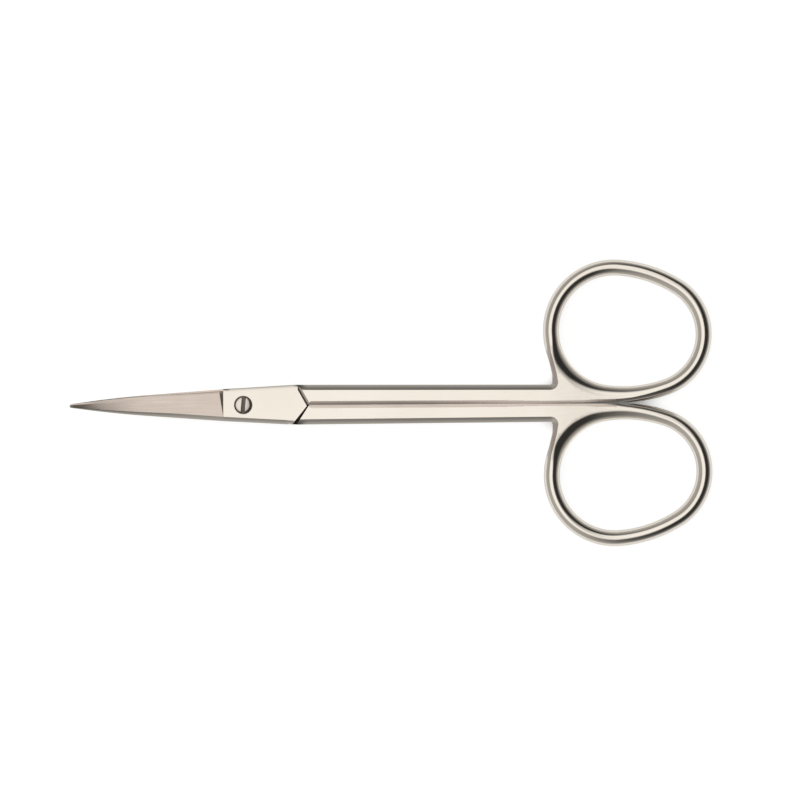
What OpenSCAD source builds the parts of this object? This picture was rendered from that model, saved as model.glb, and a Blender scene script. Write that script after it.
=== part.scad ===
// Cuticle scissors: two forged halves that cross at a slotted pivot screw.
// The origin lies on the pivot axis at the level that the scissors rest on.
// +X points to the finger rings and +Z to the face with the screw head.

/* [Blades] */
// Distance from the pivot to the blade tips
blade_reach = 26.9; // [22:0.1:36]
// Distance from the pivot to the heel step, where the ground blade face begins
heel_x = 3.1; // [2.8:0.1:4.6]
// Half width of a blade at the heel
heel_half_w = 2.5; // [2.3:0.05:3]
// Half width of a blade at its tip
tip_half_w = 0.25; // [0.15:0.05:0.4]
// Length of the stretch before the tip where the outline rounds in
nose_l = 12; // [8:0.5:15]
// Radius of the outline over that stretch
nose_r = 150; // [130:5:300]
// Height that the blades curve up towards the tip
tip_rise = 2.8; // [1:0.1:4.5]
// Distance from the pivot at which the upward curve starts
bend_start = 5; // [4.6:0.1:8]
// Thickness of one blade at the tip
tip_t = 0.5; // [0.4:0.05:0.9]
// Thickness just behind the honed bevel, at the heel
heel_edge_t = 0.85; // [0.5:0.05:1.1]
// Thickness just behind the honed bevel, at the tip
tip_edge_t = 0.3; // [0.2:0.02:0.36]
// Width of the honed bevel at the heel
hone_w = 0.35; // [0.2:0.05:0.5]
// Height of the flat left along the cutting edge
edge_land = 0.08; // [0.05:0.01:0.12]
// How far a cutting edge lies inside the other blade's back, at the heel
edge_inset = 0.3; // [0.1:0.05:0.5]
// How far the ridge of the ground face lies from the centre line, at the heel
ridge_y = 1.7; // [1.2:0.05:1.85]
// Size of the bevel along the back of a blade, at the heel
back_bevel = 0.5; // [0.3:0.05:0.7]

/* [Joint block] */
// Thickness of the scissors at the joint block and the shanks
body_t = 3; // [2.6:0.1:4]
// Gap between the two halves' sliding faces
slide_gap = 0.04; // [0.02:0.01:0.08]
// Distance from the pivot to the end of the joint block at its outer edge
block_end_x = 7.6; // [7:0.1:9]
// Distance from the pivot to the point of the arrow-shaped end
arrow_x = 10.1; // [9.3:0.1:12]
// Half width of the joint block at its end
block_half_w = 3.1; // [3:0.05:3.6]
// Size of the bevel along the joint block's top edges
block_bevel = 0.45; // [0.2:0.05:0.6]
// Gap at the outer end of the arrow, between the block and the other shank
arrow_gap = 0.7; // [0.3:0.05:0.9]
// Depth of the ground crease on the arrow's other side
crease_d = 0.2; // [0.05:0.05:0.3]

/* [Shanks] */
// Half width over both shanks where they meet the finger rings
shank_half_w = 2.9; // [2.6:0.05:3]
// Distance from the pivot to the corner between shank and finger ring
shank_l = 48.2; // [44:0.2:60]
// Gap between the two shanks when closed
centre_gap = 0.15; // [0.1:0.05:0.4]
// Radius that rounds the shank's section off
shank_round_r = 1.8; // [1.7:0.05:2]

/* [Finger rings] */
// Width of a ring's wire, seen from above
wire_w = 2.5; // [2.1:0.1:2.8]
// Height of a ring's wire
wire_h = 2.6; // [2.2:0.1:2.6]
// Inner radius of the ring end nearer the pivot
near_r = 8.6; // [8.3:0.1:10]
// Inner radius of the far ring end
far_r = 7.5; // [7:0.1:8.2]
// Inner radius along the ring's two long sides
side_r = 19.1; // [17:0.1:24]
// Distance between the centres of the two end radii
ring_span = 5.3; // [4:0.1:9]
// Angle by which a ring's far end leans towards the centre line
ring_lean = 6.5; // [3:0.5:10]
// Thickness of the web between a shank and its ring
web_t = 2.2; // [1.6:0.1:2.4]

/* [Pivot screw] */
// Diameter of the screw head
head_d = 2.55; // [2.4:0.05:2.9]
// Height of the screw head
head_t = 0.7; // [0.5:0.05:0.9]
// Height of the dome on the screw head
dome_h = 0.1; // [0.05:0.05:0.2]
// Width of the screwdriver slot
slot_w = 0.65; // [0.5:0.05:0.8]
// Depth of the screwdriver slot below the head's rim
slot_d = 0.35; // [0.2:0.05:0.4]
// Angle of the slot from the X axis
slot_angle = 85; // [0:1:179]
// Diameter of the shoulder that the front half turns on
shoulder_d = 2; // [1.8:0.05:2.2]
// Diameter of the threaded end held in the rear half
thread_d = 1.7; // [1.4:0.05:1.75]
// How far the threaded end stays inside the underside
thread_recess = 0.1; // [0:0.05:0.3]
// Radial clearance of the shoulder in its bore
turn_gap = 0.03; // [0.01:0.01:0.06]
// Radial clearance of the head in its counterbore
head_gap = 0.12; // [0.05:0.01:0.15]
// Clearance under the head
head_float = 0.02; // [0.01:0.01:0.05]

/* [Hidden] */
$fn = 96;

mid_z = body_t / 2;
layer_t = mid_z - slide_gap / 2;
blade_l = blade_reach - heel_x;
half_gap = centre_gap / 2;
root_overlap = 0.3;
blade_steps = 22;

// The blades' sliding faces follow one surface of revolution about the pivot
// axis, flat near the pivot and an arc further out, so they clear at any angle.
lift_l = blade_reach - bend_start;
lift_r = (pow(lift_l, 2) + pow(tip_rise, 2)) / (2 * tip_rise);
function lift(r) =
    r <= bend_start ? 0 : lift_r - sqrt(pow(lift_r, 2) - pow(r - bend_start, 2));

// Half width of the blade outline at the distance s from the heel
nose_drop = pow(nose_l, 2) / (2 * nose_r);
taper = (heel_half_w - tip_half_w - nose_drop) / blade_l;
function half_w(s) =
    heel_half_w - taper * s - pow(max(0, s - blade_l + nose_l), 2) / (2 * nose_r);

function mix(a, b, k) = a + (b - a) * k;

// Section of a blade at the distance s from the heel, as points of
// [distance towards the cutting edge, height above the sliding face]
function blade_section(s) =
    let (
        w = half_w(s),
        narrow = w / heel_half_w,
        k = max(0, s) / blade_l,
        back_t = mix(layer_t, tip_t, k),
        edge_t = mix(heel_edge_t, tip_edge_t, k),
        edge = w - edge_inset * narrow,
        bevel = back_bevel * min(narrow, back_t / layer_t)
    ) [
        [-w, 0],
        [edge, 0],
        [edge, edge_land],
        [edge - min(hone_w, edge / 2), edge_t],
        [-ridge_y * narrow, back_t],
        [bevel - w, back_t],
        [-w, back_t - bevel]
    ];

// Places a blade's section point. side is 1 for the front and -1 for the rear
// blade, which lies turned over on the other side of the sliding faces.
function blade_point(s, p, side) =
    let (x = -heel_x - s)
    [x, side * p[0], mid_z + side * (slide_gap / 2 + p[1]) + lift(norm([x, p[0]]))];

// Skin over a row of sections that have the same number of points
module loft(rows) {
    n = len(rows);
    m = len(rows[0]);
    sides = [
        for (i = [0 : n - 2], j = [0 : m - 1])
            let (a = i * m + j, b = i * m + (j + 1) % m)
            [a, b, b + m, a + m]
    ];
    first = [for (j = [m - 1 : -1 : 0]) j];
    last = [for (j = [0 : m - 1]) (n - 1) * m + j];
    polyhedron([for (row = rows) each row], concat([first, last], sides));
}

module blade(side) {
    stations = concat([-root_overlap], [for (i = [0 : blade_steps]) blade_l * i / blade_steps]);
    loft([for (s = stations) [for (p = blade_section(s)) blade_point(s, p, side)]]);
}

// Square bar laid along a top edge, which cuts a bevel of the given size
module edge_cut(p, q, size) {
    run = q - p;
    translate([p[0], p[1], body_t])
        rotate([0, 0, atan2(run[1], run[0])])
            rotate([45, 0, 0])
                translate([-1, -size / sqrt(2), -size / sqrt(2)])
                    cube([norm(run) + 2, size * sqrt(2), size * sqrt(2)]);
}

// Upper layer of the joint block, from the heel to the arrow-shaped end
module block_plate() {
    heel_low = [-heel_x, -heel_half_w];
    heel_high = [-heel_x, heel_half_w];
    end_low = [block_end_x, -block_half_w];
    end_high = [block_end_x + arrow_gap, block_half_w];
    difference() {
        translate([0, 0, body_t - layer_t])
            linear_extrude(layer_t)
                polygon([
                    heel_low,
                    end_low,
                    [arrow_x, half_gap],
                    [arrow_x + 2 * root_overlap, half_gap],
                    end_high + [root_overlap, 0],
                    heel_high
                ]);
        edge_cut(heel_low, end_low, block_bevel);
        edge_cut(heel_high, end_high, block_bevel);
    }
}

// The shank starts at the shoulder that faces the other half's arrow and
// narrows to a point along the inside of the finger ring's wire.
module shank() {
    start_x = block_end_x - root_overlap;
    end_x = ring_x + wire_w / 3;
    intersection() {
        linear_extrude(body_t)
            polygon([
                [block_end_x + arrow_gap, block_half_w],
                [arrow_x + root_overlap / 2, half_gap],
                [end_x, half_gap],
                [end_x, half_gap + root_overlap],
                [shank_l + 2 * root_overlap, shank_half_w],
                [shank_l, shank_half_w]
            ]);
        translate([start_x, (half_gap + block_half_w) / 2, mid_z])
            rotate([90, 0, 90])
                linear_extrude(end_x - start_x)
                    intersection() {
                        square([block_half_w - half_gap, body_t], center = true);
                        circle(shank_round_r);
                    }
    }
}

// Shallow groove in the front face on the arrow's own side
module crease() {
    p = [arrow_x, half_gap];
    q = [block_end_x + 1.1 * arrow_gap, block_half_w];
    edge_cut(p, q, crease_d);
}

// The ring's opening is an oval of four arcs: two ends and two long sides.
// Its local origin is the centre of the near end.
end_reach = side_r - near_r;
far_reach = side_r - far_r;
side_cx = (pow(end_reach, 2) - pow(far_reach, 2) + pow(ring_span, 2)) / (2 * ring_span);
side_cy = sqrt(pow(end_reach, 2) - pow(side_cx, 2));
near_angle = atan2(side_cy, -side_cx);
far_angle = atan2(side_cy, ring_span - side_cx);

// Each arc is [centre, inner radius, start angle, end angle, steps]
ring_arcs = [
    [[0, 0], near_r, near_angle, 360 - near_angle, 18],
    [[side_cx, side_cy], side_r, 360 - near_angle, 360 - far_angle, 5],
    [[ring_span, 0], far_r, -far_angle, far_angle, 14],
    [[side_cx, -side_cy], side_r, far_angle, near_angle, 5]
];

// Place of the ring's near centre: the wire's lower long side touches the
// shank's inner line, and the shank's corner lies a little inside the ring's end.
corner_set = 1.5;
ring_x = shank_l + near_r + wire_w - corner_set;
ring_y = half_gap + side_r + wire_w - side_cy * cos(ring_lean) + side_cx * sin(ring_lean);

// Rounded section of the wire, as [across, height], with small flats that reach
// its full width and height
wire_points = 12;
wire_power = 0.8;
function soft(v) = sign(v) * pow(abs(v), wire_power);
flat_reach = soft(cos(180 / wire_points));
wire_section = [
    for (i = [0 : wire_points - 1])
        let (a = (i + 0.5) * 360 / wire_points)
        [wire_w / 2 * soft(cos(a)), wire_h / 2 * soft(sin(a))] / flat_reach
];

module ring() {
    rows = [
        for (arc = ring_arcs, i = [0 : arc[4] - 1])
            let (
                a = mix(arc[2], arc[3], i / arc[4]),
                out = [cos(a), sin(a)],
                base = arc[0] + out * (arc[1] + wire_w / 2)
            )
            [for (p = wire_section) [base[0] + out[0] * p[0], base[1] + out[1] * p[0], p[1]]]
    ];
    n = len(rows);
    m = wire_points;
    translate([ring_x, ring_y, mid_z])
        rotate([0, 0, -ring_lean])
            polyhedron(
                [for (row = rows) each row],
                [
                    for (i = [0 : n - 1], j = [0 : m - 1])
                        let (a = i * m, b = ((i + 1) % n) * m, k = (j + 1) % m)
                        [a + j, a + k, b + k, b + j]
                ]
            );
}

// Small web that fills the corner between the shank and the ring
module web() {
    wire_r = near_r + wire_w / 2;
    outer_y = ring_y - sqrt(pow(near_r + wire_w, 2) - pow(ring_x - shank_l, 2));
    translate([0, 0, mid_z - web_t / 2])
        linear_extrude(web_t)
            polygon([
                [shank_l, shank_half_w / 2],
                for (a = [75, 50, 30]) [ring_x - wire_r * cos(a), ring_y - wire_r * sin(a)],
                [shank_l, outer_y]
            ]);
}

// Everything of one half but its blade and its hole, as the front half has it
module half_body() {
    difference() {
        union() {
            block_plate();
            shank();
            ring();
            web();
        }
        crease();
    }
}

module front_half() {
    color("silver")
        difference() {
            union() {
                half_body();
                blade(1);
            }
            cylinder(h = body_t, r = shoulder_d / 2 + turn_gap);
            translate([0, 0, head_seat_z])
                cylinder(h = body_t, r = head_d / 2 + head_gap);
        }
}

module rear_half() {
    color("gainsboro")
        difference() {
            union() {
                translate([0, 0, body_t])
                    rotate([180, 0, 0])
                        half_body();
                blade(-1);
            }
            translate([0, 0, -1])
                cylinder(h = body_t, d = thread_d);
        }
}

head_seat_z = body_t - head_t - head_float;
module pivot_screw() {
    dome_r = (pow(head_d / 2, 2) + pow(dome_h, 2)) / (2 * dome_h);
    rim_z = body_t - dome_h;
    color("dimgray")
        difference() {
            union() {
                translate([0, 0, thread_recess])
                    cylinder(h = mid_z - thread_recess, d = thread_d);
                translate([0, 0, layer_t])
                    cylinder(h = mid_z, d = shoulder_d);
                intersection() {
                    translate([0, 0, head_seat_z + head_float])
                        cylinder(h = head_t, d = head_d);
                    translate([0, 0, body_t - dome_r])
                        sphere(dome_r, $fn = 360);
                }
            }
            rotate([0, 0, slot_angle])
                translate([-head_d, -slot_w / 2, rim_z - slot_d])
                    cube([2 * head_d, slot_w, body_t]);
        }
}

rear_half();
front_half();
pivot_screw();
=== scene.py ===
import math

import bpy
from mathutils import Matrix, Vector
from mathutils.geometry import delaunay_2d_cdt


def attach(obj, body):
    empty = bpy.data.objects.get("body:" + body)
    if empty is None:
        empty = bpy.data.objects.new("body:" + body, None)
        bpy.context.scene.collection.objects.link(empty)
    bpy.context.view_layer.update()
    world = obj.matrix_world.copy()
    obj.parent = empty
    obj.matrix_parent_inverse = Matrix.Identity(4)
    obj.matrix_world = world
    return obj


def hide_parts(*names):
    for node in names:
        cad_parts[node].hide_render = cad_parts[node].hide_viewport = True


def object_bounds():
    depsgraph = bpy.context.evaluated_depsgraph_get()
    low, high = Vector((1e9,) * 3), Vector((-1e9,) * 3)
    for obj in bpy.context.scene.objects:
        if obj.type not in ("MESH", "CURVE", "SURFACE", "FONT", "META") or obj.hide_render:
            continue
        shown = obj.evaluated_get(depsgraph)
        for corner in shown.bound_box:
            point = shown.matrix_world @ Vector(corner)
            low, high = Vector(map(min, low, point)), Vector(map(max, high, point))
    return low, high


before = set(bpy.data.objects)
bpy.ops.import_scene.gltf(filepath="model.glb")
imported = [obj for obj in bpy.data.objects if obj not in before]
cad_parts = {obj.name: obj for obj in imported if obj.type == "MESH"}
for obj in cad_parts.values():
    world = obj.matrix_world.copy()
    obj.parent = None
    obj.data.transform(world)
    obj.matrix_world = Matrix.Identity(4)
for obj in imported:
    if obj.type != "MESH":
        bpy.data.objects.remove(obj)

cad_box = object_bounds()

# Sizes are in millimetres and angles in radians. The whole part and its joint block
MM = 0.001
BODY_T = 3.0
MID_Z = BODY_T / 2
SLIDE_GAP = 0.04
LAYER_T = MID_Z - SLIDE_GAP / 2
BLOCK_END_X = 7.6
BLOCK_HALF_W = 3.1
ARROW_X = 10.1
ARROW_GAP = 0.7
POINT_GAP = 0.15
RELIEF_D = 0.03
CREASE_W = 0.3
CREASE_D = 0.14

# Blades: each has a stub in its block, and its faces stay a skin inside the solid's
BOX_MARGIN = 0.005
BLADE_REACH = -cad_box[0].x / MM - BOX_MARGIN
HEEL_X = 3.1
HEEL_HALF_W = 2.5
TIP_HALF_W = 0.25
BLADE_L = BLADE_REACH - HEEL_X
NOSE_L = 12.0
NOSE_R = 150.0
TIP_RISE = 2.8
BEND_START = 5.0
TIP_T = 0.5
HEEL_EDGE_T = 0.85
TIP_EDGE_T = 0.3
HONE_W = 0.35
EDGE_LAND = 0.05
EDGE_INSET = 0.3
RAMP_L = 1.4
STUB = 0.4
SKIN = 0.004

# Shanks, and the corner and root where each meets its ring
SHANK_HALF_W = 2.9
SHANK_L = 48.2
HALF_GAP = 0.075
INNER_Y = 0.015
INNER_TURN_L = 4.0
INNER_GROUND_X = 58.0
CORNER_SET = 1.5
CORNER_R = 0.4
ROOT_H = 1.6
ROOT_LEAVE = math.radians(199)
ROOT_STRAIGHT = 0.6
ROOT_GROUND_Y = 8.3
CROTCH_ANGLE = math.radians(220)

# Finger rings; the skin is how far the wire's outside stays inside the solid's
WIRE_W = 2.5
WIRE_H = 2.6
NEAR_R = 8.6
FAR_R = 7.5
SIDE_R = 19.1
RING_SPAN = 5.3
RING_LEAN = math.radians(6.5)
RING_SKIN = 0.045

# Pivot screw
HEAD_D = 2.55
HEAD_GAP = 0.12
HEAD_T = 0.7
HEAD_FLOAT = 0.02
HEAD_RIM = 0.16
HEAD_CHAMFER = 0.03
SEAT_CHAMFER = 0.05
DOME_H = 0.1
SLOT_W = 0.65
SLOT_D = 0.35
SLOT_FLOOR_Z = BODY_T - DOME_H - SLOT_D
SLOT_ANGLE = math.radians(85)
SHOULDER_D = 2.0
TURN_GAP = 0.03
THREAD_D = 1.7
THREAD_RECESS = 0.1
THREAD_FIT = 0.005
THREAD_CHAMFER = 0.12

# Rounding of the edges: width seen from above and depth in millimetres, and how
# much of it is a crowned bevel, where 0 is a quarter of an ellipse
ROUND_WIRE = (1.2, 1.2, 0)
ROUND_SHANK = (0.82, 0.52, 1)
ROUND_INNER = (0.55, 0.13, 1)
ROUND_ROOT = (0.6, 0.42, 1)
ROUND_SEAM = (0.5, 0.045, 1)
ROUND_TOUCH = (0.5, 0.16, 1)
ROUND_SEAM_RING = (1.7, 1.2, 0)
ROUND_BLOCK_LOW = (0.68, 0.46, 1)
ROUND_BLOCK_HIGH = (0.8, 0.22, 1)
ROUND_SHARP = (0.03, 0.03, 0)
ROUND_CROTCH = (1.9, 1.1, 0.4)
ROUND_STEPS = 10
CROWN = 0.4
NARROW_ROUND = 1.3

# Where the rounding or the thickness changes: along X from the pivot, along Y from the
# centre line, and round the crotch as distances from its middle
INNER_TO_SEAM_X = (20, 50)
SEAM_TO_TOUCH_X = (53, 59)
SEAM_TO_WIRE_X = (57, 67)
SEAM_RING_Y = (3, 5)
BLOCK_TO_SHANK_X = (8.5, 9.5)
SHANK_TO_ROOT_Y = (SHANK_HALF_W + 0.4, SHANK_HALF_W + ROOT_H)
WIRE_TO_ROOT_Y = (10.5, 7.5)
THINNER_X = (46, 58)
CROTCH_START = 1
CROTCH_REACH_UP = 5.2
CROTCH_REACH_DOWN = 7


def mix(a, b, k):
    """The value a share k of the way from a to b."""
    return a + (b - a) * k


def smooth(low, high, v):
    """Rises gently from 0 at low to 1 at high; low may be the larger of the two."""
    k = min(1.0, max(0.0, (v - low) / (high - low)))
    return k * k * (3 - 2 * k)


def mix_round(a, b, k):
    """A rounding a share k of the way from one to another."""
    return tuple(mix(p, q, k) for p, q in zip(a, b))


def edge_profile(bevel):
    """Points over a rounded edge as shares of (width, depth), from outline to flat."""
    points = []
    for k in range(ROUND_STEPS + 1):
        a = math.pi / 2 * k / ROUND_STEPS
        v = 1 - k / ROUND_STEPS
        crowned = (1 - v, (1 - CROWN) * v + CROWN * v * v)
        points.append((mix(1 - math.cos(a), crowned[0], bevel), mix(1 - math.sin(a), crowned[1], bevel)))
    return points


def seam_share(x):
    """How far the edges along the seam between the rings keep their own rounding."""
    return 1 - smooth(*SEAM_TO_WIRE_X, x)


# Shape of a finger ring: two end arcs and two long side arcs, leaning inwards
_end = SIDE_R - NEAR_R
_far = SIDE_R - FAR_R
SIDE_CX = (_end**2 - _far**2 + RING_SPAN**2) / (2 * RING_SPAN)
SIDE_CY = math.sqrt(_end**2 - SIDE_CX**2)
NEAR_ANGLE = math.atan2(SIDE_CY, -SIDE_CX)
FAR_ANGLE = math.atan2(SIDE_CY, RING_SPAN - SIDE_CX)
RING_X = SHANK_L + NEAR_R + WIRE_W - CORNER_SET
RING_Y = (
    HALF_GAP + SIDE_R + WIRE_W
    - SIDE_CY * math.cos(RING_LEAN) + SIDE_CX * math.sin(RING_LEAN)
)
LOW_ANGLE = RING_LEAN - math.pi / 2
ARC_STEP = math.radians(2.5)


def ring_point(centre, radius, angle):
    """A point of the ring, turned by its lean and moved to its place."""
    local = Vector(centre) + radius * Vector((math.cos(angle), math.sin(angle)))
    turned = Matrix.Rotation(-RING_LEAN, 2) @ local
    return turned + Vector((RING_X, RING_Y))


def ring_arc(centre, radius, start, end):
    """Points along one arc of the ring, both ends included."""
    count = max(2, round(abs(end - start) / ARC_STEP))
    return [ring_point(centre, radius, mix(start, end, i / count)) for i in range(count + 1)]


def ring_outline(offset, first, last):
    """Points round the ring at an offset from its opening, from one angle to another."""
    low, high = (SIDE_CX, SIDE_CY), (SIDE_CX, -SIDE_CY)
    points = ring_arc(low, SIDE_R + offset, first, -FAR_ANGLE)
    points += ring_arc((RING_SPAN, 0), FAR_R + offset, -FAR_ANGLE, FAR_ANGLE)[1:]
    points += ring_arc(high, SIDE_R + offset, FAR_ANGLE, NEAR_ANGLE)[1:]
    points += ring_arc((0, 0), NEAR_R + offset, NEAR_ANGLE, last)[1:]
    return points


def bend(p, q, r, steps=10):
    """A curve from p to r that leaves towards q and arrives from q."""
    p, q, r = Vector(p), Vector(q), Vector(r)
    return [p.lerp(q, k).lerp(q.lerp(r, k), k) for k in (i / steps for i in range(steps + 1))]


def line(p, q, step=0.6):
    """Points from p to q about a step apart, both ends included."""
    p, q = Vector(p), Vector(q)
    count = max(1, round((q - p).length / step))
    return [p.lerp(q, i / count) for i in range(count + 1)]


def rounded(points, rule):
    """A run of outline points, each with the rounding that the rule gives there."""
    return [(p, rule(p)) for p in points]


def inner_edge(p):
    """Rounding along the side that faces the other half."""
    edge = mix_round(ROUND_INNER, ROUND_SEAM, smooth(*INNER_TO_SEAM_X, p.x))
    edge = mix_round(edge, ROUND_TOUCH, smooth(*SEAM_TO_TOUCH_X, p.x))
    return mix_round(ROUND_WIRE, edge, seam_share(p.x))


def ring_edge(p):
    """Rounding round the ring's outside and down its root to the shank."""
    if p.y < SHANK_HALF_W:
        return inner_edge(p)
    low = mix_round(ROUND_SHANK, ROUND_ROOT, smooth(*SHANK_TO_ROOT_Y, p.y))
    at_root = smooth(*WIRE_TO_ROOT_Y, p.y) if p.x < RING_X else 0
    return mix_round(ROUND_WIRE, low, at_root)


def outer_edge(p):
    """Rounding along the outer side of shank and joint block."""
    return mix_round(ROUND_BLOCK_HIGH, ROUND_SHANK, smooth(*BLOCK_TO_SHANK_X, p.x))


def root_bend():
    """Curve from the ring down to the shank."""
    top = ring_point((0, 0), NEAR_R + WIRE_W - RING_SKIN, ROOT_LEAVE + RING_LEAN)
    low = Vector((SHANK_L, SHANK_HALF_W + ROOT_H))
    drop = (top.x - SHANK_L) / math.tan(ROOT_LEAVE)
    tangent = Vector((SHANK_L, top.y + drop))
    return bend(top, tangent.lerp((top + low) / 2, ROOT_STRAIGHT), low)


def corner_fillet():
    """Arc in the corner between the ring's root and the shank."""
    x, y = SHANK_L - CORNER_R, SHANK_HALF_W + CORNER_R
    angles = (math.radians(15 * i) for i in range(7))
    return [Vector((x + CORNER_R * math.cos(a), y - CORNER_R * math.sin(a))) for a in angles]


def body_runs():
    """Outline of one half from heel to ring, as runs that meet at corners."""
    heel_low = (-HEEL_X, -HEEL_HALF_W)
    heel_high = (-HEEL_X, HEEL_HALF_W)
    end_low = (BLOCK_END_X, -BLOCK_HALF_W)
    end_high = (BLOCK_END_X + ARROW_GAP, BLOCK_HALF_W)
    arrow = (ARROW_X, INNER_Y)
    inner_turn = (SHANK_L - INNER_TURN_L, INNER_Y)
    ring = ring_outline(WIRE_W - RING_SKIN, LOW_ANGLE, ROOT_LEAVE + RING_LEAN)
    root = root_bend()
    fillet = corner_fillet()
    return [
        rounded(line(heel_low, end_low), lambda p: ROUND_BLOCK_LOW),
        rounded(line(end_low, arrow, step=1.3), lambda p: ROUND_SHARP),
        rounded(line(arrow, inner_turn) + line(inner_turn, ring[0])[1:], inner_edge),
        rounded(ring, ring_edge),
        rounded(root, ring_edge),
        rounded(line(root[-1], fillet[0]), ring_edge),
        rounded(fillet, ring_edge),
        rounded(line(fillet[-1], end_high), outer_edge),
        rounded(line(end_high, heel_high), outer_edge),
        rounded(line(heel_high, heel_low, step=1.7), lambda p: ROUND_SHARP),
    ]


def hole_edge(p):
    """Rounding round the ring's opening, widest in the crotch next to the shank."""
    crotch = ring_point((0, 0), NEAR_R, CROTCH_ANGLE + RING_LEAN)
    at_seam = seam_share(p.x) * (1 - smooth(*SEAM_RING_Y, p.y))
    wire = mix_round(ROUND_WIRE, ROUND_SEAM_RING, at_seam)
    reach = CROTCH_REACH_UP if p.y > crotch.y else CROTCH_REACH_DOWN
    return mix_round(ROUND_CROTCH, wire, smooth(CROTCH_START, reach, (p - crotch).length))


def hole_runs():
    """Outline of the ring's opening, run so that the steel lies on its left."""
    near_low = 2 * math.pi - NEAR_ANGLE
    points = ring_outline(0, LOW_ANGLE, near_low)
    points += ring_arc((SIDE_CX, SIDE_CY), SIDE_R, near_low, 2 * math.pi + LOW_ANGLE)[1:]
    return [rounded(list(reversed(points)), hole_edge)]


def left_of(p, q):
    """Unit vector to the left of the way from p to q."""
    d = (q - p).normalized()
    return Vector((-d.y, d.x))


def inset_rows(runs):
    """For each outline point: its place, its full inset and its edge's profile."""
    straight = 0.02
    rows = []
    for i, run in enumerate(runs):
        before = runs[i - 1]
        for j, (p, (width, depth, bevel)) in enumerate(run[:-1]):
            n2 = left_of(p, run[j + 1][0])
            if j:
                n1, width1, depth1 = left_of(run[j - 1][0], p), width, depth
            else:
                n1 = left_of(before[-2][0], p)
                width1, depth1, _ = before[-1][1]
            det = n1.x * n2.y - n1.y * n2.x
            if abs(det) < straight:
                inset = (n1 + n2).normalized() * (width + width1) / 2
            else:
                inset = Vector((width1 * n2.y - width * n1.y, n1.x * width - n2.x * width1)) / det
            deep = max(depth, depth1)
            rows.append((p, inset, [(across, down * deep) for across, down in edge_profile(bevel)]))
    return rows


def half_height(x):
    """Half the thickness of shank or wire; the ring's wire is a little thinner."""
    return mix(MID_Z - SKIN / 2, WIRE_H / 2, smooth(*THINNER_X, x))


def edge_band(rows, verts, faces):
    """Adds the rounded edge over an outline; returns its lowest and its highest points."""
    n, start = len(rows), len(verts)
    layers = 2 * (ROUND_STEPS + 1)
    for k in range(layers):
        side = -1 if k <= ROUND_STEPS else 1
        step = ROUND_STEPS - k if side < 0 else k - ROUND_STEPS - 1
        for p, inset, profile in rows:
            across, down = profile[step]
            q = p + inset * across
            verts.append((q.x, q.y, MID_Z + side * (half_height(q.x) - down)))
    for k in range(layers - 1):
        for i in range(n):
            a, b = start + k * n + i, start + k * n + (i + 1) % n
            faces.append((a, b, b + n, a + n))
    return list(range(start, start + n)), list(range(len(verts) - n, len(verts)))


def plate_mesh(name, loops):
    """A closed plate inside the first loop and outside the second, with rounded edges."""
    verts, faces, cap_low, cap_top, cap_edges = [], [], [], [], []
    for rows in loops:
        n, base = len(rows), len(cap_low)
        low, top = edge_band(rows, verts, faces)
        cap_low += low
        cap_top += top
        cap_edges += [(base + i, base + (i + 1) % n) for i in range(n)]
    outer, hole = ([p + inset for p, inset, _ in rows] for rows in loops)
    spread = cap_grid(outer, hole)
    for p in spread:
        for side, cap in ((-1, cap_low), (1, cap_top)):
            cap.append(len(verts))
            verts.append((p.x, p.y, MID_Z + side * half_height(p.x)))
    points, _, triangles, origin, _, _ = delaunay_2d_cdt(outer + hole + spread, cap_edges, [], 1, 1e-7)
    for tri in triangles:
        centre = sum((Vector(points[i]) for i in tri), Vector((0, 0))) / 3
        if not inside(centre, hole):
            corners = [origin[i][0] for i in tri]
            faces.append([cap_top[i] for i in corners])
            faces.append([cap_low[i] for i in reversed(corners)])
    return mesh_object(name, verts, faces)


def cap_grid(outer, hole):
    """Points spread over the part of the cap that isn't level, near the finger ring."""
    pitch, clear = 0.45, 0.3
    first_x, columns, rows = 44, 40, 18
    edges = outer + hole
    points = []
    for i in range(columns):
        for j in range(rows):
            p = Vector((first_x + i * pitch, HALF_GAP + (j + 0.5) * pitch))
            if inside(p, outer) and not inside(p, hole):
                if all((p - q).length > clear for q in edges):
                    points.append(p)
    return points


def inside(p, outline):
    """Whether a point lies inside a closed outline."""
    result = False
    for a, b in zip(outline, outline[1:] + outline[:1]):
        if (a.y > p.y) != (b.y > p.y) and p.x < a.x + (p.y - a.y) * (b.x - a.x) / (b.y - a.y):
            result = not result
    return result


def mesh_object(name, verts, faces):
    """A new object in the scene with a mesh of these points and faces."""
    mesh = bpy.data.meshes.new(name)
    mesh.from_pydata([tuple(v) for v in verts], [], faces)
    mesh.validate()
    obj = bpy.data.objects.new(name, mesh)
    bpy.context.scene.collection.objects.link(obj)
    return obj


def prism(name, outline, low, high):
    """A straight-sided cutter over an outline that runs anticlockwise."""
    n = len(outline)
    verts = [(p[0], p[1], z) for z in (low, high) for p in outline]
    faces = [(i, (i + 1) % n, n + (i + 1) % n, n + i) for i in range(n)]
    faces += [list(reversed(range(n))), list(range(n, 2 * n))]
    return mesh_object(name, verts, faces)


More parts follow.
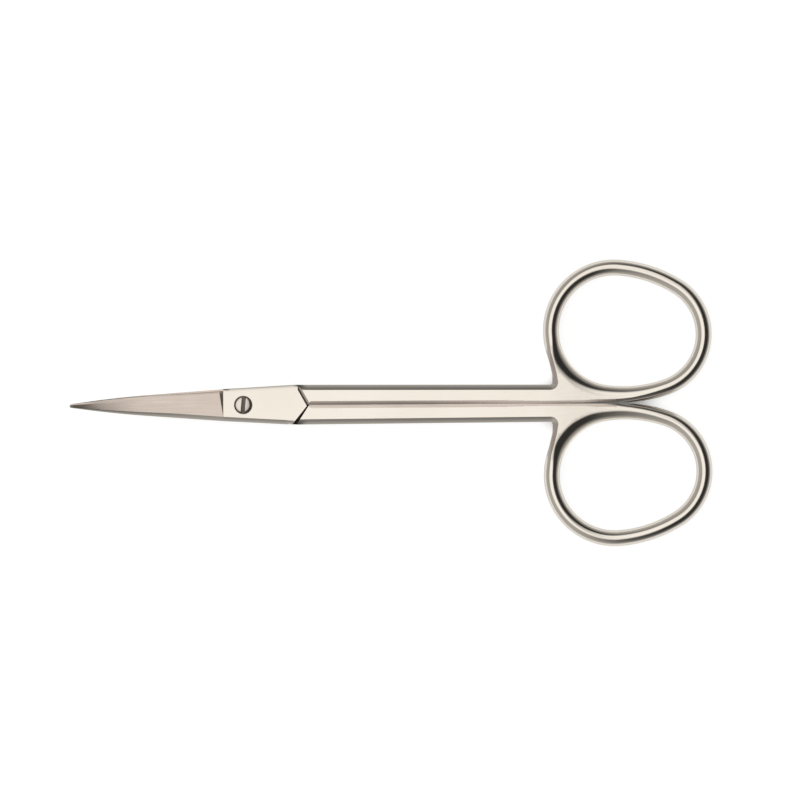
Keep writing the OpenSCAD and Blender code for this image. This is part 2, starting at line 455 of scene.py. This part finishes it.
def turned(name, profile, steps=96):
    """A solid of revolution about the pivot axis from points of (radius, height), low to high."""
    verts, faces = [(0, 0, profile[0][1])], []
    for r, z in profile:
        verts += [
            (r * math.cos(a), r * math.sin(a), z)
            for a in (2 * math.pi * i / steps for i in range(steps))
        ]
    verts.append((0, 0, profile[-1][1]))
    for i in range(steps):
        j = (i + 1) % steps
        faces.append((0, 1 + j, 1 + i))
        for k in range(len(profile) - 1):
            a, b = 1 + k * steps, 1 + (k + 1) * steps
            faces.append((a + i, a + j, b + j, b + i))
        last = 1 + (len(profile) - 1) * steps
        faces.append((last + i, last + j, len(verts) - 1))
    return mesh_object(name, verts, faces)


def combine(obj, other, operation):
    """Applies a boolean of another object to this one and removes the other."""
    modifier = obj.modifiers.new("cut", "BOOLEAN")
    modifier.operation = operation
    modifier.solver = "EXACT"
    modifier.object = other
    bpy.context.view_layer.update()
    result = bpy.data.meshes.new_from_object(obj.evaluated_get(bpy.context.evaluated_depsgraph_get()))
    obj.modifiers.clear()
    obj.data = result
    bpy.data.objects.remove(other)


# Blades: the sliding face follows one surface of revolution about the pivot
LIFT_L = BLADE_REACH - BEND_START
LIFT_R = (LIFT_L**2 + TIP_RISE**2) / (2 * TIP_RISE)
TAPER = (HEEL_HALF_W - TIP_HALF_W - NOSE_L**2 / (2 * NOSE_R)) / BLADE_L


def lift(r):
    """Height that the blade's sliding face has gained at a distance from the pivot."""
    return 0 if r <= BEND_START else LIFT_R - math.sqrt(LIFT_R**2 - (r - BEND_START) ** 2)


def half_w(s):
    """Half width of a blade at a distance from its heel."""
    return HEEL_HALF_W - TAPER * s - max(0.0, s - BLADE_L + NOSE_L) ** 2 / (2 * NOSE_R)


def back_share(w):
    """Share of the block's rounding that the back of a blade of this half width keeps."""
    return min(1.0, w / HEEL_HALF_W * NARROW_ROUND)


def blade_width(s):
    """Half width of the blade without its skin, rounded off at the tip."""
    end_share = 0.12
    w = half_w(max(0.0, s)) - SKIN
    past = s - (BLADE_L - TIP_HALF_W)
    if past > 0:
        w *= max(end_share, math.sqrt(max(0.0, 1 - (past / TIP_HALF_W) ** 2)))
    return w


def blade_section(s):
    """Closed section as points of (distance towards the edge, height above the sliding face)."""
    w = blade_width(s)
    k = max(0.0, s) / BLADE_L
    back_t = mix(LAYER_T, TIP_T, k) - 2 * SKIN
    edge_t = mix(HEEL_EDGE_T, TIP_EDGE_T, k)
    edge = w - EDGE_INSET * (w / HEEL_HALF_W)
    hone = edge - min(HONE_W, edge / 2)
    least_back = 0.1
    wide, deep, _ = ROUND_BLOCK_LOW
    wide, deep = wide * back_share(w), min(deep, back_t - least_back) * back_share(w)
    ridge = wide - w

    def top(y):
        if y <= ridge:
            v = back_t
        elif y <= hone:
            v = mix(back_t, edge_t, (y - ridge) / (hone - ridge))
        else:
            v = mix(edge_t, EDGE_LAND, (y - hone) / (edge - hone))
        ramp = LAYER_T - 2 * SKIN - max(0.0, s) / RAMP_L * LAYER_T
        return v + max(0, ramp - edge_t) if y > hone else max(v, ramp)

    flat_steps, face_steps = 6, 14
    low = [(mix(-w, edge, i / flat_steps), 0) for i in range(flat_steps + 1)]
    face = [mix(hone, ridge, i / face_steps) for i in range(1, face_steps + 1)]
    high = [(y, top(y)) for y in [edge, mix(hone, edge, 0.5), hone] + face]
    back = reversed(edge_profile(1)[:-1])
    return low + high + [(wide * across - w, back_t - deep * down) for across, down in back]


def blade_stations():
    """Distances along the blade from the heel, closest where its shape changes fastest."""
    ramp_steps, face_steps, nose_steps = 36, 26, 8
    nose = BLADE_L - 1
    places = [-STUB] + [RAMP_L * i / ramp_steps for i in range(ramp_steps + 1)]
    places += [mix(RAMP_L, nose, i / face_steps) for i in range(1, face_steps + 1)]
    return places + [mix(nose, BLADE_L, i / nose_steps) for i in range(1, nose_steps + 1)]


def blade(name, side):
    """Blade of the front half (side 1) or, turned over, of the rear half (side -1)."""
    stations = blade_stations()
    rows = [blade_section(s) for s in stations]
    verts, m = [], len(rows[0])
    for s, row in zip(stations, rows):
        for y, v in row:
            x = -HEEL_X - s
            z = MID_Z + side * (SLIDE_GAP / 2 + SKIN + v) + lift(math.hypot(x, y))
            verts.append((x, side * y, z))
    faces = [list(range(m)), [(len(rows) - 1) * m + j for j in reversed(range(m))]]
    for i in range(len(rows) - 1):
        for j in range(m):
            a, b = i * m + j, i * m + (j + 1) % m
            faces.append((a, a + m, b + m, b))
    return mesh_object(name, verts, faces)


def lower_layer():
    """Cutter that leaves only the upper layer of the joint block."""
    over, past, slant = 5.0, 2.0, 0.04
    point = ARROW_X + POINT_GAP
    slope = (ARROW_GAP + BLOCK_END_X - ARROW_X - POINT_GAP) / (BLOCK_HALF_W - HALF_GAP)
    outline = [
        (-2 * over, -over),
        (ARROW_X + past, -over),
        (ARROW_X + past, 0),
        (point + slant, 0),
        (point, HALF_GAP),
        (point + slope * over, HALF_GAP + over),
        (-2 * over, HALF_GAP + over),
    ]
    return prism("lower_cut", outline, -1, MID_Z + SLIDE_GAP / 2)


def relief():
    """Cutter for the shallow strip that the other half's arrow leaves open; its faces get the dark
    painted shade.
    """
    past = 0.2
    outline = [
        (ARROW_X - past, 0),
        (ARROW_X + past, 0),
        (BLOCK_END_X + ARROW_GAP, BLOCK_HALF_W + past),
        (BLOCK_END_X - past, BLOCK_HALF_W + past),
    ]
    return prism("relief_cut", outline, MID_Z, MID_Z + SLIDE_GAP / 2 + RELIEF_D)


# Line of the crease, from the arrow's point to a little past the end of the arrow's gap
CREASE_PAST = 1.1
CREASE_FROM = Vector((ARROW_X, INNER_Y, BODY_T))
CREASE_TO = Vector((BLOCK_END_X + CREASE_PAST * ARROW_GAP, BLOCK_HALF_W, BODY_T))
CREASE_RUN = (CREASE_TO - CREASE_FROM).normalized()
CREASE_SIDE = CREASE_RUN.cross(Vector((0, 0, 1)))


def crease():
    """Groove across the front face on the arrow's own side."""
    start, end = CREASE_FROM - CREASE_RUN, CREASE_TO + CREASE_RUN
    across, up = CREASE_SIDE * CREASE_W, Vector((0, 0, CREASE_D))
    corners = [across, up, -across, -up]
    verts = [start + c for c in corners] + [end + c for c in corners]
    faces = [(4 + i, 4 + (i + 1) % 4, (i + 1) % 4, i) for i in range(4)] + [(0, 1, 2, 3), (7, 6, 5, 4)]
    return mesh_object("crease_cut", verts, faces)


def front_bore():
    """Cutter for the shoulder's bore, the counterbore of the head and its chamfer."""
    bore_r = SHOULDER_D / 2 + TURN_GAP
    seat_r = HEAD_D / 2 + HEAD_GAP
    seat_z = BODY_T - HEAD_T - HEAD_FLOAT
    return turned("hole_cut", [
        (bore_r, 0),
        (bore_r, seat_z),
        (seat_r, seat_z),
        (seat_r, BODY_T - SEAT_CHAMFER),
        (seat_r + 2 * SEAT_CHAMFER, BODY_T + SEAT_CHAMFER),
    ])


def rear_bore():
    """Cutter for the hole that holds the threaded end."""
    return turned("hole_cut", [(THREAD_D / 2, -1), (THREAD_D / 2, BODY_T)])


def half(name, side):
    """One forged half. The rear one is the front one's body turned over, with its own blade."""
    obj = plate_mesh(name, [inset_rows(body_runs()), inset_rows(hole_runs())])
    for cutter in (lower_layer, relief, crease):
        combine(obj, cutter(), "DIFFERENCE")
    if side < 0:
        obj.data.transform(Matrix.Translation((0, 0, BODY_T)) @ Matrix.Rotation(math.pi, 4, "X"))
    combine(obj, front_bore() if side > 0 else rear_bore(), "DIFFERENCE")
    combine(obj, blade(name + "_blade", side), "UNION")
    return obj


def screw_profile():
    """Half section of the screw, from the threaded end up over the head's dome."""
    thread_r = THREAD_D / 2 - THREAD_FIT
    shoulder_r, head_r = SHOULDER_D / 2, HEAD_D / 2
    dome_r = (head_r**2 + DOME_H**2) / (2 * DOME_H)
    seat_z = BODY_T - HEAD_T
    rim_z = BODY_T - DOME_H - HEAD_RIM
    profile = [
        (THREAD_D / 2 - THREAD_CHAMFER, THREAD_RECESS),
        (thread_r, THREAD_RECESS + THREAD_CHAMFER),
        (thread_r, LAYER_T),
        (shoulder_r, LAYER_T),
        (shoulder_r, seat_z),
        (head_r - HEAD_CHAMFER, seat_z),
        (head_r, seat_z + HEAD_CHAMFER),
    ]
    for a in (math.radians(v) for v in (0, 20, 40, 60)):
        profile.append((head_r - HEAD_RIM * (1 - math.cos(a)), rim_z + HEAD_RIM * math.sin(a)))
    dome_steps = 12
    for i in range(1, dome_steps):
        r = (head_r - HEAD_RIM) * (1 - i / dome_steps)
        profile.append((r, BODY_T - dome_r + math.sqrt(dome_r**2 - r**2)))
    return profile


def screw():
    """Slotted screw with a domed head, a shoulder and a threaded end."""
    obj = turned("slotted_screw", screw_profile())
    long, half_slot = HEAD_D, SLOT_W / 2
    slot = [(-long, -half_slot), (long, -half_slot), (long, half_slot), (-long, half_slot)]
    turn = Matrix.Rotation(SLOT_ANGLE, 2)
    cutter = prism("slot_cut", [turn @ Vector(p) for p in slot], SLOT_FLOOR_Z, BODY_T + 1)
    combine(obj, cutter, "DIFFERENCE")
    return obj


def finish_mesh(obj, sharp_deg=13):
    """Scales a finished piece to metres and gives it clean shading."""
    mesh = obj.data
    mesh.transform(Matrix.Scale(MM, 4))
    for p in mesh.polygons:
        p.use_smooth = True
    mesh.set_sharp_from_angle(angle=math.radians(sharp_deg))
    normals = obj.modifiers.new("normals", "WEIGHTED_NORMAL")
    normals.mode = "FACE_AREA"
    normals.keep_sharp = True


def add(tree, kind, **values):
    """A new shader node with its inputs or properties set by name."""
    made = tree.nodes.new(kind)
    for key, value in values.items():
        if key in made.inputs:
            made.inputs[key].default_value = value
        else:
            setattr(made, key, value)
    return made


def join(tree, *steps):
    """Links (node, output) to (node, input), one pair after another."""
    for (a, out), (b, into) in steps:
        tree.links.new(a.outputs[out], b.inputs[into])


def ramp(tree, stops, values):
    """Colour ramp in greys; stops lie between 0 and 1."""
    made = tree.nodes.new("ShaderNodeValToRGB")
    elements = made.color_ramp.elements
    while len(elements) < len(stops):
        elements.new(0.5)
    for element, stop, value in zip(elements, stops, values):
        element.position = stop
        element.color = (value, value, value, 1)
    return made


def map_range(tree, low, high, to_low, to_high):
    """Node that maps one range gently onto another."""
    made = add(tree, "ShaderNodeMapRange", interpolation_type="SMOOTHSTEP")
    for key, value in zip(("From Min", "From Max", "To Min", "To Max"), (low, high, to_low, to_high)):
        made.inputs[key].default_value = value
    return made


def mix_node(tree, a, b):
    """Node that mixes two numbers; one that is None comes through a link."""
    made = add(tree, "ShaderNodeMix", data_type="FLOAT")
    for key, value in (("A", a), ("B", b)):
        if value is not None:
            made.inputs[key].default_value = value
    return made


def new_material(name):
    """A material with its node tree and its shader."""
    material = bpy.data.materials.new(name)
    material.use_nodes = True
    return material, material.node_tree, material.node_tree.nodes["Principled BSDF"]


def grain(tree, shader, stretch, scale, rough, bump):
    """Fine stretched grain that varies the roughness and lifts the surface a little."""
    place = add(tree, "ShaderNodeTexCoord")
    squeeze = add(tree, "ShaderNodeMapping")
    squeeze.inputs["Scale"].default_value = stretch
    noise = add(tree, "ShaderNodeTexNoise", Scale=scale, Detail=6.0, Roughness=0.6)
    spread = add(tree, "ShaderNodeMapRange")
    spread.inputs["From Min"].default_value = 0.3
    spread.inputs["From Max"].default_value = 0.7
    spread.inputs["To Min"].default_value = rough[0]
    spread.inputs["To Max"].default_value = rough[1]
    lift_up = add(tree, "ShaderNodeBump", Strength=bump, Distance=0.01 * MM)
    join(
        tree,
        ((place, "Object"), (squeeze, 0)),
        ((squeeze, 0), (noise, "Vector")),
        ((noise, "Fac"), (spread, "Value")),
        ((spread, "Result"), (shader, "Roughness")),
        ((noise, "Fac"), (lift_up, "Height")),
        ((lift_up, "Normal"), (shader, "Normal")),
    )
    return place


def mottle(tree, shader, place, scale, low, high):
    """Slow change of tint over the surface between two colours."""
    noise = add(tree, "ShaderNodeTexNoise", Scale=scale, Detail=4.0)
    tint = ramp(tree, (0.35, 0.65), (0, 1))
    for element, color in zip(tint.color_ramp.elements, (low, high)):
        element.color = (*color, 1)
    join(
        tree,
        ((place, "Object"), (noise, "Vector")),
        ((noise, "Fac"), (tint, 0)),
        ((tint, 0), (shader, "Base Color")),
    )


def metal(name, tints, tint_scale, stretch, scale, rough, bump):
    """Steel between two tints, with grain of the given stretch, scale, roughness and bump."""
    material, tree, shader = new_material(name)
    shader.inputs["Metallic"].default_value = 1.0
    place = grain(tree, shader, stretch, scale, rough, bump)
    mottle(tree, shader, place, tint_scale, *tints)
    return material


def make_materials():
    """Polished plate, ground blade face, painted shade as dark and half-dark steel for the joint's gaps
    and recesses, turned screw.
    """
    return {
        "plate": metal(
            "polished_nickel", ((0.885, 0.815, 0.715), (0.925, 0.855, 0.76)), 90,
            (1, 6, 6), 500, (0.09, 0.15), 0.1,
        ),
        "ground": metal(
            "ground_steel", ((0.74, 0.63, 0.55), (0.805, 0.69, 0.6)), 160,
            (1, 30, 30), 90, (0.24, 0.32), 0.35,
        ),
        # Painted shade: near-black steel for the arrow's shoulder walls and the relief strip
        "dark": metal(
            "painted_shade_steel", ((0.035, 0.028, 0.024), (0.08, 0.065, 0.055)), 400,
            (1, 1, 1), 1500, (0.45, 0.65), 0.3,
        ),
        # Painted shade: half-dark steel for the heel's ramp, the head's bore wall and seat and the
        # screw's slot
        "groove": metal(
            "grooved_steel", ((0.2, 0.165, 0.135), (0.3, 0.25, 0.21)), 400,
            (1, 1, 1), 1500, (0.4, 0.55), 0.3,
        ),
        "screw": metal(
            "turned_steel", ((0.78, 0.71, 0.64), (0.85, 0.78, 0.7)), 300,
            (1, 1, 1), 1200, (0.16, 0.26), 0.15,
        ),
    }


# Places of the materials in each half's list
PLATE, GROUND, DARK, HALF_SHADE = 0, 1, 2, 3


def blade_kind(x, y, normal, side):
    """Material of a face of the blade, which is ground up to the rounded back."""
    s = min(-HEEL_X - x, BLADE_L)
    w = half_w(s)
    on_ramp = s < RAMP_L and normal.x < -0.4 and side * normal.z > 0.2
    # The heel's ramp gets the half-dark painted shade
    if on_ramp:
        return HALF_SHADE
    past_back = side * y > ROUND_BLOCK_LOW[0] * back_share(w) - w
    return GROUND if past_back or side * normal.z < 0 else PLATE


def painted_shade_kind(x, y, z, normal):
    """Painted shade for the joint: dark on the relief strip and the arrow's shoulder walls, half-dark on
    the head's bore wall and seat, or None for a face that is worked bright.
    """
    depth = abs(z - MID_Z) - SLIDE_GAP / 2
    in_relief = abs(depth - RELIEF_D) < RELIEF_D / 2 and x < ARROW_X + 1
    wall = abs(normal.z) < 0.3
    shoulder = wall and abs(normal.x) > 0.5 and BLOCK_END_X - 0.1 < x < ARROW_X + 0.5
    # The relief strip and the arrow's shoulder walls get the dark painted shade
    if in_relief or shoulder:
        return DARK
    seat = abs(z - BODY_T + HEAD_T + HEAD_FLOAT) < 0.05
    in_bore = math.hypot(x, y) < HEAD_D / 2 + HEAD_GAP + 0.02
    # The head's bore wall and seat get the half-dark painted shade
    return HALF_SHADE if in_bore and (wall or seat) else None


def is_ground(x, y, z, normal, side):
    """Whether a face off the blade is ground: sliding face, inner edge, ring root or crease."""
    level = 0.997
    sliding = abs(z - MID_Z) - SLIDE_GAP / 2 < RELIEF_D / 2 and x < ARROW_X + 1
    sloped = abs(normal.z) < level
    inner = abs(y) < ROUND_INNER[0] + HALF_GAP and sloped and ARROW_X < x < INNER_GROUND_X
    near_root = SHANK_L - 0.4 < x < SHANK_L + 1 and SHANK_HALF_W + 0.1 < abs(y) < ROOT_GROUND_Y
    root = near_root and normal.x < -0.05
    return sliding or inner or root or in_crease(x, side * y, normal, side)


def face_kind(x, y, z, normal, side):
    """Which of a half's materials lies on a face, from its place in millimetres."""
    if x < -HEEL_X:
        return blade_kind(x, y, normal, side)
    # Painted shade in the joint's gaps and recesses comes before the worked finishes
    painted_shade = painted_shade_kind(x, y, z, normal)
    if painted_shade is not None:
        return painted_shade
    return GROUND if is_ground(x, y, z, normal, side) else PLATE


def in_crease(x, y, normal, side):
    """Whether a face is one of the crease's two slopes; y is that of the front half."""
    offset = Vector((x, y, BODY_T)) - CREASE_FROM
    lean = abs(Vector((normal.x, side * normal.y, 0)).dot(CREASE_SIDE))
    steep = CREASE_D / math.hypot(CREASE_D, CREASE_W)
    return abs(offset.dot(CREASE_SIDE)) < CREASE_W and abs(lean - steep) < 0.06


def mark_faces(obj, side):
    """Gives each face of a half its material."""
    for p in obj.data.polygons:
        x, y, z = p.center / MM
        p.material_index = face_kind(x, y, z, p.normal, side)


def mark_slot(obj):
    """Gives the faces of the screw's slot the second material, a half-dark painted shade."""
    near = 0.01
    across = Vector((-math.sin(SLOT_ANGLE), math.cos(SLOT_ANGLE)))
    for p in obj.data.polygons:
        place = p.center.to_2d() / MM
        between_walls = abs(place.dot(across)) < SLOT_W / 2 + near
        p.material_index = int(between_walls and p.center.z / MM > SLOT_FLOOR_Z - near)


def build():
    """Makes the three pieces, each in place of its solid, and gives them their materials."""
    made = make_materials()
    front = half("front_scissor_half", 1)
    rear = half("rear_scissor_half", -1)
    pin = screw()
    half_set = (made["plate"], made["ground"], made["dark"], made["groove"])
    for obj, node, body, slot, materials in (
        (front, "front_half", "front", "front_steel", half_set),
        (rear, "rear_half", "rear", "rear_steel", half_set),
        (pin, "pivot_screw", "rear", "screw_steel", (made["screw"], made["groove"])),
    ):
        finish_mesh(obj)
        obj.data.materials.clear()
        for material in materials:
            obj.data.materials.append(material)
        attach(obj, body)
        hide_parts(node)
    mark_faces(front, 1)
    mark_faces(rear, -1)
    mark_slot(pin)


def socket_math(tree, operation, second=None):
    """Math node; a second value goes straight onto its socket."""
    made = add(tree, "ShaderNodeMath", operation=operation)
    if second is not None:
        made.inputs[1].default_value = second
    return made


def floor_material():
    """Pale matt white that glows for the camera and glossy rays, less where the object shades it."""
    material, tree, shader = new_material("floor_white")
    shader.inputs["Base Color"].default_value = (0.5, 0.5, 0.5, 1)
    shader.inputs["Roughness"].default_value = 0.9
    shader.inputs["Specular IOR Level"].default_value = 0
    shader.inputs["Emission Color"].default_value = (1, 1, 1, 1)
    path = add(tree, "ShaderNodeLightPath")
    camera_or_gloss = socket_math(tree, "MAXIMUM")
    seen = socket_math(tree, "MAXIMUM")
    open_sky = add(tree, "ShaderNodeAmbientOcclusion", Distance=4 * MM)
    open_sky.samples = 8
    lit = ramp(tree, (0.02, 0.4), (0, 1))
    lit_gloss = ramp(tree, (0.1, 0.95), (0, 0.75))
    lit_as_seen = mix_node(tree, None, None)
    strength = socket_math(tree, "MULTIPLY")
    level = socket_math(tree, "MULTIPLY", 0.85)
    join(
        tree,
        ((path, "Is Camera Ray"), (camera_or_gloss, 0)),
        ((path, "Is Glossy Ray"), (camera_or_gloss, 1)),
        ((camera_or_gloss, 0), (seen, 0)),
        ((path, "Is Transmission Ray"), (seen, 1)),
        ((open_sky, "AO"), (lit, 0)),
        ((open_sky, "AO"), (lit_gloss, 0)),
        ((path, "Is Glossy Ray"), (lit_as_seen, "Factor")),
        ((lit, 0), (lit_as_seen, "A")),
        ((lit_gloss, 0), (lit_as_seen, "B")),
        ((lit_as_seen, "Result"), (strength, 0)),
        ((seen, 0), (strength, 1)),
        ((strength, 0), (level, 0)),
        ((level, 0), (shader, "Emission Strength")),
    )
    return material


def stage():
    """White floor a hair below the underside, which keeps the object's shadow."""
    size = 2.0
    low = -0.02 * MM
    corners = [(-size, -size, low), (size, -size, low), (size, size, low), (-size, size, low)]
    floor = mesh_object("floor", corners, [(0, 1, 2, 3)])
    floor.data.materials.append(floor_material())


def camera():
    """Looks straight down from far away, as the photograph does."""
    px_per_mm = 6.43
    pivot_px = (243.2, 405.0)
    frame_px = 800
    roll = math.radians(0.33)
    distance = 0.6
    width = frame_px / px_per_mm * MM
    data = bpy.data.cameras.new("camera")
    data.sensor_width = 36
    data.lens = data.sensor_width * distance / width
    data.clip_start, data.clip_end = 0.05, 5
    obj = bpy.data.objects.new("camera", data)
    bpy.context.scene.collection.objects.link(obj)
    offset = Vector((frame_px / 2 - pivot_px[0], pivot_px[1] - frame_px / 2)) / px_per_mm * MM
    offset = Matrix.Rotation(-roll, 2) @ offset
    obj.location = (offset.x, offset.y, distance + BODY_T * MM)
    obj.rotation_euler = (0, 0, -roll)
    bpy.context.scene.camera = obj


def heading_to(toward_x, toward_y):
    """Direction that leans from straight up by the given degrees along X and Y."""
    x, y = math.radians(toward_x), math.radians(toward_y)
    return Vector((math.sin(x) * math.cos(y), math.sin(y), math.cos(x) * math.cos(y)))


def cap(tree, place, toward, low, high):
    """Bright round patch of sky; low and high are the cosines where it fades in."""
    facing = add(tree, "ShaderNodeVectorMath", operation="DOT_PRODUCT")
    facing.inputs[1].default_value = toward
    fade = map_range(tree, low, high, 0, 1)
    join(tree, ((place, "Generated"), (facing, 0)), ((facing, "Value"), (fade, "Value")))
    return fade


def wall_light(tree, place):
    """Walls that fall from pale beyond the blades to dark beyond the rings."""
    level = add(tree, "ShaderNodeVectorMath", operation="MULTIPLY")
    level.inputs[1].default_value = (1, 1, 0)
    heading = add(tree, "ShaderNodeVectorMath", operation="NORMALIZE")
    compass = add(tree, "ShaderNodeSeparateXYZ")
    along = map_range(tree, -1, 1, 0, 1)
    sideways = map_range(tree, -1, 1, 1.1, 0.85)
    walls = ramp(
        tree,
        (0, 0.15, 0.33, 0.5, 0.67, 0.85, 1),
        (0.38, 0.36, 0.29, 0.19, 0.09, 0.03, 0.03),
    )
    sided = socket_math(tree, "MULTIPLY")
    join(
        tree,
        ((place, "Generated"), (level, 0)),
        ((level, 0), (heading, 0)),
        ((heading, 0), (compass, 0)),
        ((compass, "X"), (along, "Value")),
        ((compass, "Y"), (sideways, "Value")),
        ((along, "Result"), (walls, 0)),
        ((walls, 0), (sided, 0)),
        ((sideways, "Result"), (sided, 1)),
    )
    return sided


def light():
    """Soft studio: two bright caps overhead, walls below them and a pale rim at the horizon."""
    cap_level, rim_top, rim_level = 1.0, 0.64, 0.44
    world = bpy.data.worlds.new("studio")
    bpy.context.scene.world = world
    world.use_nodes = True
    tree = world.node_tree
    background = tree.nodes["Background"]
    place = add(tree, "ShaderNodeTexCoord")
    parts = add(tree, "ShaderNodeSeparateXYZ")
    overhead = cap(tree, place, heading_to(-12, 0), 0.883, 0.965)
    beyond = cap(tree, place, heading_to(-2, 20), 0.899, 0.9976)
    sky = socket_math(tree, "MAXIMUM")
    walls = wall_light(tree, place)
    rim = map_range(tree, rim_top, 0.0, 0, 1)
    lit = mix_node(tree, None, cap_level)
    rimmed = mix_node(tree, None, rim_level)
    path = add(tree, "ShaderNodeLightPath")
    strength = socket_math(tree, "MAXIMUM")
    join(
        tree,
        ((place, "Generated"), (parts, 0)),
        ((overhead, "Result"), (sky, 0)),
        ((beyond, "Result"), (sky, 1)),
        ((parts, "Z"), (rim, "Value")),
        ((sky, 0), (lit, "Factor")),
        ((walls, 0), (lit, "A")),
        ((rim, "Result"), (rimmed, "Factor")),
        ((lit, "Result"), (rimmed, "A")),
        ((rimmed, "Result"), (strength, 0)),
        ((path, "Is Camera Ray"), (strength, 1)),
        ((strength, 0), (background, "Strength")),
    )
    background.inputs["Color"].default_value = (1, 1, 1, 1)
    bpy.context.scene.view_settings.view_transform = "Standard"


camera()
build()
stage()
light()
